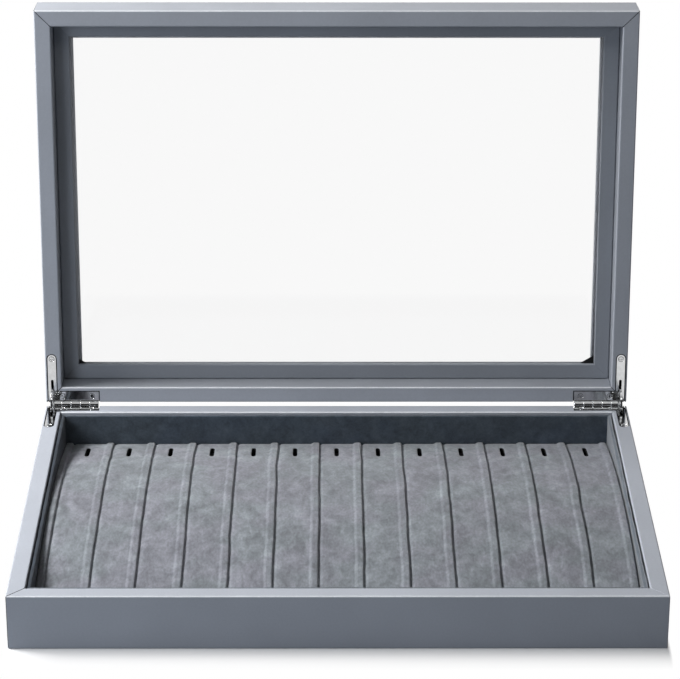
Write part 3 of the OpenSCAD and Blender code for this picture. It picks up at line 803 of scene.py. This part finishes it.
class CASE_OT_display_pad(bpy.types.Operator):
    """Makes the padded, ribbed and slotted pad, swollen as cloth over foam"""

    bl_idname = "case.display_pad"
    bl_label = "Display pad"

    def execute(self, context):
        sizes = context.scene.case_sizes
        pitch = (sizes.pad_width - sizes.rib_width) / sizes.channels
        self.ribs = [(i - sizes.channels / 2) * pitch for i in range(sizes.channels + 1)]
        self.middles = [(i - (sizes.channels - 1) / 2) * pitch for i in range(sizes.channels)]
        self.slot_end = sizes.pad_depth / 2 - sizes.slot_inset
        self.slot_start = self.slot_end - sizes.slot_length
        pad = self.ribbed_sheet(sizes)
        self.cut_slots(sizes, pad)
        self.thicken(sizes, pad)
        self.roll_edges(sizes, pad)
        face_outwards(pad)
        pad.data.materials.append(finish_named("pad_suede"))
        self.show_foam(sizes, pad)
        smooth(pad, 55)
        stand_for(pad, "display_pad")
        return {"FINISHED"}

    def arch(self, sizes, y):
        """Height of the arch at y: an arc through the pad's back and front edges."""
        drop = sizes.pad_front - sizes.pad_back
        radius = ((sizes.pad_depth**2 + drop**2) / 4 + sizes.pad_rise**2) / (2 * sizes.pad_rise)
        tilt = math.atan2(-drop, sizes.pad_depth)
        middle_y = math.sin(tilt) * (radius - sizes.pad_rise)
        middle_z = (sizes.pad_back + sizes.pad_front) / 2 - math.cos(tilt) * (radius - sizes.pad_rise)
        return middle_z + np.sqrt(radius**2 - (y - middle_y) ** 2)

    def ribbed_sheet(self, sizes):
        """The pad's upper face, finely divided at the ribs' feet and round the slots."""
        half = sizes.rib_width / 2
        on_rib = np.array([0, 0.3, 0.55, 0.7, 0.83, 0.93, 1.0]) * half
        beside_rib = half + np.array([0.2, 0.45, 0.75, 1.1, 1.7, 2.6]) * MM
        at_slot = np.array([0, 0.5, 1.0, 1.5, 2.1]) * sizes.slot_width / 2
        limit, depth = sizes.pad_width / 2, sizes.pad_depth / 2
        lines = [(rib, [*on_rib, *beside_rib]) for rib in self.ribs]
        lines += [(middle, at_slot) for middle in self.middles]
        stops = {round(at + sign * d, 6) for at, steps in lines for d in steps for sign in (-1, 1)}
        xs = spaced(sorted(x for x in stops if abs(x) <= limit + 1e-6), 3.2 * MM)
        cap = np.array([-0.2, 0, 0.12, 0.35, 0.7, 1.0]) * sizes.slot_cap
        edge = depth - 1.3 * MM
        slot = [*(self.slot_start + cap), *(self.slot_end - cap[::-1])]
        ys = spaced([-depth, -edge, *slot, edge, depth], 2.4 * MM)
        pad, column, row = open_grid("ribbed_pad", len(xs), len(ys))
        x, y = xs[column], ys[row]
        x, y = self.round_slots(sizes, x, y)
        flat = np.stack((x, y, np.zeros(len(x))), 1)
        z = self.arch(sizes, y) + self.swelling(sizes, x, y)
        z += sizes.nap_wave * (0.6 * wave(flat, 26 * MM, 1) + 0.4 * wave(flat, 11 * MM, 2))
        for number, rib in enumerate(self.ribs):
            away = np.abs(x - rib)
            sewn = x > rib
            # The suede runs softly up the left of a rib and drops steeply into the seam on its right
            steep = np.sqrt(1 - np.clip(away / half, 0, 1) ** 3.4)
            soft = 0.5 + 0.5 * np.cos(math.pi * np.clip(away / (1.45 * half), 0, 1) ** 1.8)
            z += sizes.rib_height * np.where(sewn, steep, soft)
            seam = np.exp(-(((away - half - SEAM_OFFSET) / SEAM_WIDTH) ** 2))
            z -= np.where(sewn, sizes.seam_depth, 0) * seam
            if 0 < number < sizes.channels:
                near = np.flatnonzero(away < half + 6 * MM)
                path = np.stack((0 * near, y[near], 0 * near), 1)
                stray = 0.75 * wave(path, 34 * MM, 20 + number) + 0.3 * wave(path, 12 * MM, 50 + number)
                stray *= sizes.rib_wander
                x[near] += stray * np.clip(1 - (away[near] - half - 1 * MM) / (5 * MM), 0, 1)
        # The suede turns down over the pad's two sides
        turned = np.clip((np.abs(x) - limit) / sizes.side_roll + 1, 0, 1)
        z -= 1.2 * sizes.side_roll * (1 - np.sqrt(1 - np.minimum(turned, 0.999) ** 2))
        for middle in self.middles:
            off = self.slot_distance(sizes, x, y, middle)
            z -= SLOT_DIP * np.exp(-((np.clip(off, 0, None) / SLOT_DIP_WIDTH) ** 2))
        move_points(pad, np.stack((x, y, z), 1))
        return pad

    def slot_distance(self, sizes, x, y, middle):
        """Distance of points from the outline of the slot at this middle, negative inside it."""
        radius, cap = sizes.slot_width / 2, sizes.slot_cap
        nearest = np.clip(y, self.slot_start + cap, self.slot_end - cap)
        return (np.hypot((x - middle) / radius, (y - nearest) / cap) - 1) * radius

    def round_slots(self, sizes, x, y):
        """Moves the points of each slot's square ends onto half ovals."""
        x, y = x.copy(), y.copy()
        radius, cap_length = sizes.slot_width / 2, sizes.slot_cap
        for end, way in ((self.slot_start + cap_length, -1), (self.slot_end - cap_length, 1)):
            for middle in self.middles:
                across, beyond = (x - middle) / radius, (y - end) * way / cap_length
                cap = (np.abs(across) < 1.001) & (beyond > 0) & (beyond < 1.001)
                pull = np.maximum(np.abs(across), beyond)[cap] / np.hypot(across, beyond)[cap]
                x[cap] = middle + across[cap] * pull * radius
                y[cap] = end + way * beyond[cap] * pull * cap_length
        return x, y

    def swelling(self, sizes, x, y):
        """How far foam lifts each point: a cloth, sewn down at the ribs and edges, under pressure."""
        per_channel, step = 8, 2.7 * MM
        columns = sizes.channels * per_channel + 1
        rows = int(sizes.pad_depth / step) + 1
        xs = np.linspace(self.ribs[0], self.ribs[-1], columns)
        ys = np.linspace(-sizes.pad_depth / 2, sizes.pad_depth / 2, rows)
        cloth, column, row = open_grid("swelling", columns, rows)
        before = np.stack((xs[column], ys[row], self.arch(sizes, ys[row])), 1)
        move_points(cloth, before)
        self.thicken(sizes, cloth)
        face_outwards(cloth)
        sewn = (column % per_channel == 0) | (row == 0) | (row == rows - 1)
        upper = len(column)
        group = cloth.vertex_groups.new(name="sewn")
        group.add(np.flatnonzero(sewn).tolist(), 1.0, "REPLACE")
        group.add(list(range(upper, len(cloth.data.vertices))), 1.0, "REPLACE")
        foam = cloth.modifiers.new("Cloth", "CLOTH")
        foam.settings.quality = 4
        foam.settings.vertex_group_mass = "sewn"
        foam.settings.use_pressure = True
        foam.settings.uniform_pressure_force = 4
        foam.settings.shrink_min = -0.012
        foam.settings.effector_weights.gravity = 0
        last = foam.point_cache.frame_end = 20
        for number in range(1, last + 1):
            bpy.context.scene.frame_set(number)
        only(cloth)
        bpy.ops.object.modifier_apply(modifier=foam.name)
        rise = (points_of(cloth)[:upper] - before)[:, 2]
        bpy.data.objects.remove(cloth)
        bpy.context.scene.frame_set(1)
        field = np.zeros((rows, columns))
        field[row, column] = np.clip(rise, -0.3 * sizes.channel_crown, sizes.channel_crown)
        across = np.interp(x, xs, np.arange(columns))
        along = np.interp(y, ys, np.arange(rows))
        i, j = np.minimum(across.astype(int), columns - 2), np.minimum(along.astype(int), rows - 2)
        u, v = across - i, along - j
        near_row = field[j, i] * (1 - u) + field[j, i + 1] * u
        far_row = field[j + 1, i] * (1 - u) + field[j + 1, i + 1] * u
        return near_row * (1 - v) + far_row * v

    def cut_slots(self, sizes, pad):
        """Takes out the faces inside the slots."""
        select_parts(pad, "FACE", lambda face: self.in_slot(sizes, face.center, -0.02 * MM))
        bpy.ops.mesh.delete(type="FACE")
        leave_edit()

    def in_slot(self, sizes, place, margin):
        return any(
            self.slot_distance(sizes, place.x, place.y, middle) < margin
            for middle in self.middles if abs(place.x - middle) < sizes.slot_width
        )

    def thicken(self, sizes, sheet):
        """Adds a sheet's sides, the slots' walls and a plain arched underside, straight below it."""
        upper = points_of(sheet)
        # This modifier puts edges and faces in the same order each run. The cloth's result depends on it.
        apply_modifier(sheet, "SOLIDIFY", thickness=sizes.pad_thickness)
        lower = upper.copy()
        lower[:, 2] = self.arch(sizes, upper[:, 1]) - sizes.pad_thickness
        move_points(sheet, np.concatenate((upper, lower)))

    def roll_edges(self, sizes, pad):
        """Rolls the suede over the front and back edges and into the slots."""
        edge = sizes.pad_depth / 2 - 0.01 * MM
        under = lambda point: point[2] < self.arch(sizes, point[1]) - sizes.pad_thickness / 2
        select_edges(pad, lambda a, b: min(abs(a[1]), abs(b[1])) > edge and not under(a) and not under(b))
        round_selected(sizes.edge_roll, 3)

        def at_slot(point):
            return not under(point) and self.in_slot(sizes, Vector(point), 0.02 * MM)

        select_edges(pad, lambda a, b: at_slot(a) and at_slot(b))
        round_selected(sizes.slot_roll, 2)

    def show_foam(self, sizes, pad):
        """Shows the black foam on the slots' walls."""
        show_on(pad, "corner_rubber", lambda face: (
            abs(face.normal.z) < 0.3 and self.in_slot(sizes, face.center, 0.1 * MM)
        ))


class CASE_OT_hinges(bpy.types.Operator):
    """Rounds and plates the hinge plates, stays, pins and screws"""

    bl_idname = "case.hinges"
    bl_label = "Hinges"

    def execute(self, context):
        sizes = context.scene.case_sizes
        for level in ("lower", "upper"):
            self.rounded(sizes, level + "_leaf_screws", sizes.metal_round / 2)
            for hand in HANDS:
                self.rounded(sizes, level + "_leaf_" + hand, sizes.metal_round)
        for hand in HANDS:
            self.rounded(sizes, "stay_" + hand, sizes.metal_round)
            self.rounded(sizes, "hinge_pin_" + hand, sizes.metal_round)
        return {"FINISHED"}

    def rounded(self, sizes, node, round_by):
        """A metal part with its sharp edges tumbled round."""
        piece = copy_of(node, "plated_" + node)
        if "screws" in node:
            # Only the rims of the heads are sharper than a right angle
            select_sharp(piece, 100)
            round_selected(sizes.head_round, 3)
        elif "leaf" in node:
            select_edges(piece, lambda a, b: abs(a[0] - b[0]) < 1e-6 and self.on_knuckle(sizes, a, b))
            round_selected(sizes.knuckle_round, 3, clamp=True)
        select_sharp(piece, 35)
        round_selected(round_by, 2, clamp=True)
        smooth(piece, 32)
        dress(piece, node)

    def on_knuckle(self, sizes, *points):
        """Whether these points lie on the round face of a knuckle."""
        _, y, z = LID_HINGE["pos_m"]
        return all(abs(math.hypot(at[1] - y, at[2] - z) - sizes.knuckle_radius) < 0.02 * MM for at in points)


class CASE_OT_stage(bpy.types.Operator):
    """Makes the floor, the light and the camera"""

    bl_idname = "case.stage"
    bl_label = "Stage"

    def execute(self, context):
        scene = context.scene
        stage = scene.case_stage
        scene.view_settings.view_transform = "Standard"
        # Most of the floor lies behind the case
        bpy.ops.mesh.primitive_plane_add(size=stage.floor_size, location=(0, stage.floor_size / 6, -0.02 * MM))
        floor = context.object
        floor.name = "floor"
        bpy.ops.object.transform_apply(location=True)
        floor.data.materials.append(self.floor_finish(stage, scene.case_sizes))
        self.light_sky(scene, stage)
        self.hang_light("key_light", stage.key_place, stage.key_size, stage.key_watts)
        self.hang_light("side_light", stage.side_place, stage.key_size, stage.side_watts)
        strip = self.hang_light("strip_light", stage.strip_place, stage.strip_length, stage.strip_watts)
        strip.shape = "RECTANGLE"
        strip.size_y = stage.strip_width
        fill = self.hang_light("fill_light", stage.fill_place, stage.fill_size, stage.fill_watts)
        fill.color = stage.fill_colour[:3]
        aim = Matrix.Rotation(-stage.camera_turn, 3, "Z")
        aim = aim @ Matrix.Rotation(math.pi / 2 - stage.camera_dip, 3, "X")
        aim = aim @ Matrix.Rotation(stage.camera_roll, 3, "Z")
        bpy.ops.object.camera_add(location=stage.camera_place, rotation=aim.to_euler())
        camera = scene.camera = context.object
        camera.name = "camera"
        camera.data.sensor_width = 36
        camera.data.lens = stage.camera_lens
        camera.data.clip_start, camera.data.clip_end = 0.05, 50
        return {"FINISHED"}

    def hang_light(self, name, place, size, watts):
        """A square soft light of this size and power, aimed at the case."""
        bpy.ops.object.light_add(type="AREA", location=place)
        light = bpy.context.object
        light.name = name
        light.rotation_euler = (-light.location).to_track_quat("-Z", "Y").to_euler()
        light.data.shape = "SQUARE"
        light.data.size = size
        light.data.energy = watts
        return light.data

    def seen_rays(self, tree):
        """1 for what the camera, a gloss or the glass sees, and 0 for what lights the case."""
        path = add_node(tree, "LightPath")
        total = path.outputs["Is Camera Ray"]
        for ray in ("Is Glossy Ray", "Is Transmission Ray"):
            total = add_node(tree, "Math", links={0: total, 1: path.outputs[ray]}, operation="MAXIMUM")
        return total

    def floor_finish(self, stage, sizes):
        """Painted board: a plain matt white that keeps a soft shadow."""
        values = {"Roughness": 0.9, "Specular IOR Level": 0}
        material, tree, surface, place = new_finish("matt_white_floor", values)
        seen = self.seen_rays(tree)
        tones = {6: stage.bounce, 7: stage.floor}
        tone = add_node(tree, "Mix", tones, {0: seen}, data_type="RGBA")
        connect(tree, surface, {"Base Color": tone.outputs[2]})
        # The floor brightens to plain white away from the case, and sooner beside it
        half = (sizes.case_width / 2, sizes.case_depth / 2, 1)
        away = add_node(tree, "VectorMath", links={0: place}, operation="ABSOLUTE")
        steps = {"SUBTRACT": half, "MAXIMUM": (0, 0, 0), "MULTIPLY": (stage.side_fade, 1, 1)}
        for operation, value in steps.items():
            away = add_node(tree, "VectorMath", {1: value}, {0: away}, operation=operation)
        away = add_node(tree, "VectorMath", links={0: away}, operation="LENGTH")
        fade = {"From Max": stage.shadow_reach, "To Min": 0.1, "To Max": 1.0}
        white = add_node(tree, "MapRange", fade, {"Value": away.outputs["Value"]})
        share = add_node(tree, "Math", links={0: seen, 1: white}, operation="MULTIPLY")
        glow = add_node(tree, "Emission", {"Color": (1, 1, 1, 1), "Strength": 1.0})
        mixed = add_node(tree, "MixShader", links={0: share, 1: surface, 2: glow})
        connect(tree, tree.nodes["Material Output"], {"Surface": mixed})
        return material

    def light_sky(self, scene, stage):
        """White all round where it is seen, and a plain even light on the case."""
        scene.world = bpy.data.worlds.new("studio")
        scene.world.use_nodes = True
        tree = scene.world.node_tree
        tree.nodes.clear()
        seen = self.seen_rays(tree)
        strength = add_node(tree, "MapRange", {"To Min": stage.sky, "To Max": 1.0}, {"Value": seen})
        # Gloss finds the room dim on the side that the camera stands on
        way = add_node(tree, "TexCoord").outputs["Generated"]
        split = add_node(tree, "SeparateXYZ", links={"Vector": way})
        turning = {"From Min": -0.6, "From Max": 0.1, "To Min": stage.dim_side, "To Max": 1.0}
        dim = add_node(tree, "MapRange", turning, {"Value": split.outputs["Y"]})
        gloss = add_node(tree, "LightPath").outputs["Is Glossy Ray"]
        held = add_node(tree, "Mix", {"A": 1.0}, {"Factor": gloss, "B": dim}, data_type="FLOAT")
        strength = add_node(tree, "Math", links={0: strength, 1: held}, operation="MULTIPLY")
        light = add_node(tree, "Background", {"Color": (1, 1, 1, 1)}, {"Strength": strength})
        add_node(tree, "OutputWorld", links={"Surface": light})


OPERATORS = (
    CASE_OT_stage,
    CASE_OT_base_rails,
    CASE_OT_lid_rails,
    CASE_OT_lid_window,
    CASE_OT_bottom,
    CASE_OT_tray,
    CASE_OT_display_pad,
    CASE_OT_hinges,
)


class CASE_PT_steps(bpy.types.Panel):
    """Lists the steps that dress the case"""

    bl_label = "Display case"
    bl_idname = "CASE_PT_steps"
    bl_space_type = "VIEW_3D"
    bl_region_type = "UI"
    bl_category = "Display case"

    def draw(self, context):
        for operator in OPERATORS:
            self.layout.operator(operator.bl_idname)
        for group in (context.scene.case_finish, context.scene.case_sizes, context.scene.case_stage):
            box = self.layout.box()
            for name in group.__annotations__:
                box.prop(group, name)


GROUPS = {"case_finish": CaseFinish, "case_sizes": CaseSizes, "case_stage": CaseStage}


def register():
    for cls in (*GROUPS.values(), *OPERATORS, CASE_PT_steps):
        bpy.utils.register_class(cls)
    for name, group in GROUPS.items():
        setattr(bpy.types.Scene, name, PointerProperty(type=group))


def unregister():
    for name in GROUPS:
        delattr(bpy.types.Scene, name)
    for cls in reversed((*GROUPS.values(), *OPERATORS, CASE_PT_steps)):
        bpy.utils.unregister_class(cls)


def main():
    register()
    for operator in OPERATORS:
        group, step = operator.bl_idname.split(".")
        getattr(getattr(bpy.ops, group), step)()


if __name__ == "__main__":
    main()
